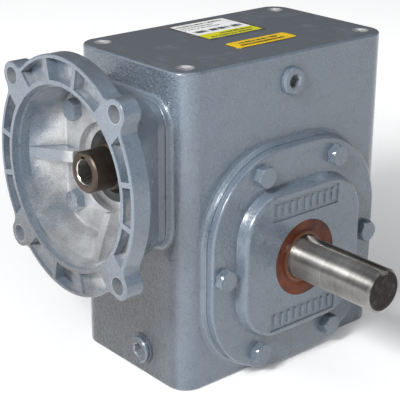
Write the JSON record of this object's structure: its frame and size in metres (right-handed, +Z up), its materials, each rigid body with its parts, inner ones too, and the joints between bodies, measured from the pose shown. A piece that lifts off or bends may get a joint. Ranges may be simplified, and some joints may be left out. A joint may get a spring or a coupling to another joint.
{
  "type": "worm gearbox",
  "caption": "Right-angle worm gearbox: a box casting with a motor bell and hollow keyed input, a worm and bronze wheel, and one solid keyed output shaft.",
  "frame": {"origin": "on the base plane, straight below the output shaft's axis and on the gear's mid-plane, which is the middle of the casting", "axes": "+Z up from the base, -Y along the output shaft out of the box, -X out of the motor flange"},
  "size_m": [0.2268, 0.2104, 0.22],
  "materials": {
    "painted_casting": "sprayed grey-blue enamel over rough cast iron",
    "painted_fastener": "grey-blue enamel over hex fasteners",
    "ground_steel": "ground bright steel",
    "oiled_steel": "dark machined steel with a film of oil",
    "spring_steel": "phosphated spring steel",
    "pressed_cage": "pressed steel",
    "bronze": "cut phosphor bronze",
    "hub_iron": "bare cast iron",
    "seal_brown": "red-brown moulded rubber, semi-gloss",
    "seal_black": "black moulded rubber",
    "gasket": "oiled gasket fibre",
    "label_white": "printed white film with a dark border",
    "label_yellow": "printed yellow film"
  },
  "bodies": {
    "housing": {"gear_housing": "painted_casting", "output_cover": "painted_casting", "output_cover_shim": "gasket", "output_cover_bolts": "painted_fastener", "output_oil_seal": "seal_brown", "output_seal_spring": "oiled_steel", "rear_cover": "painted_casting", "rear_cover_shim": "gasket", "rear_cover_bolts": "painted_fastener", "motor_flange": "painted_casting", "motor_flange_gasket": "gasket", "motor_flange_bolts": "painted_fastener", "input_oil_seal": "seal_black", "worm_end_plug": "spring_steel", "worm_end_ring": "spring_steel", "fill_plug": "painted_fastener", "drain_plug": "painted_fastener", "rating_label": "label_white", "notice_label": "label_yellow", "worm_front_bearing_outer_race": "ground_steel", "worm_rear_bearing_outer_race": "ground_steel", "output_bearing_cup": "ground_steel", "shaft_rear_bearing_cup": "ground_steel"},
    "output": {"output_shaft": "ground_steel", "wheel_rim": "bronze", "wheel_hub": "hub_iron", "wheel_key": "oiled_steel", "wheel_spacer": "oiled_steel", "output_bearing_cone": "ground_steel", "shaft_rear_bearing_cone": "ground_steel"},
    "worm": {"worm_shaft": "oiled_steel", "worm_front_ring": "spring_steel", "worm_rear_ring": "spring_steel", "worm_front_bearing_inner_race": "ground_steel", "worm_rear_bearing_inner_race": "ground_steel"},
    "worm_front_rollers": {"worm_front_bearing_balls": "ground_steel", "worm_front_bearing_cage": "pressed_cage"},
    "worm_rear_rollers": {"worm_rear_bearing_balls": "ground_steel", "worm_rear_bearing_cage": "pressed_cage"},
    "output_rollers": {"output_bearing_rollers": "ground_steel", "output_bearing_cage": "pressed_cage"},
    "shaft_rear_rollers": {"shaft_rear_bearing_rollers": "ground_steel", "shaft_rear_bearing_cage": "pressed_cage"}
  },
  "joints": [
    {"name": "output_spin", "type": "hinge", "parent": "housing", "child": "output", "pos_m": [0, 0, 0.07779], "axis": [0, -1, 0], "continuous": true},
    {"name": "worm_spin", "type": "hinge", "parent": "housing", "child": "worm", "pos_m": [0, 0, 0.14446], "axis": [1, 0, 0], "continuous": true},
    {"name": "worm_front_cage_spin", "type": "hinge", "parent": "housing", "child": "worm_front_rollers", "pos_m": [-0.0779, 0, 0.14446], "axis": [1, 0, 0], "continuous": true},
    {"name": "worm_rear_cage_spin", "type": "hinge", "parent": "housing", "child": "worm_rear_rollers", "pos_m": [0.0654, 0, 0.14446], "axis": [1, 0, 0], "continuous": true},
    {"name": "output_cage_spin", "type": "hinge", "parent": "housing", "child": "output_rollers", "pos_m": [0, -0.0524, 0.07779], "axis": [0, -1, 0], "continuous": true},
    {"name": "shaft_rear_cage_spin", "type": "hinge", "parent": "housing", "child": "shaft_rear_rollers", "pos_m": [0, 0.0524, 0.07779], "axis": [0, -1, 0], "continuous": true}
  ],
  "couplings": [
    {"joint": "worm_spin", "follows": "output_spin", "ratio": 30},
    {"joint": "worm_front_cage_spin", "follows": "output_spin", "ratio": 11.896},
    {"joint": "worm_rear_cage_spin", "follows": "output_spin", "ratio": 11.033},
    {"joint": "output_cage_spin", "follows": "output_spin", "ratio": 0.4329},
    {"joint": "shaft_rear_cage_spin", "follows": "output_spin", "ratio": 0.4329}
  ]
}
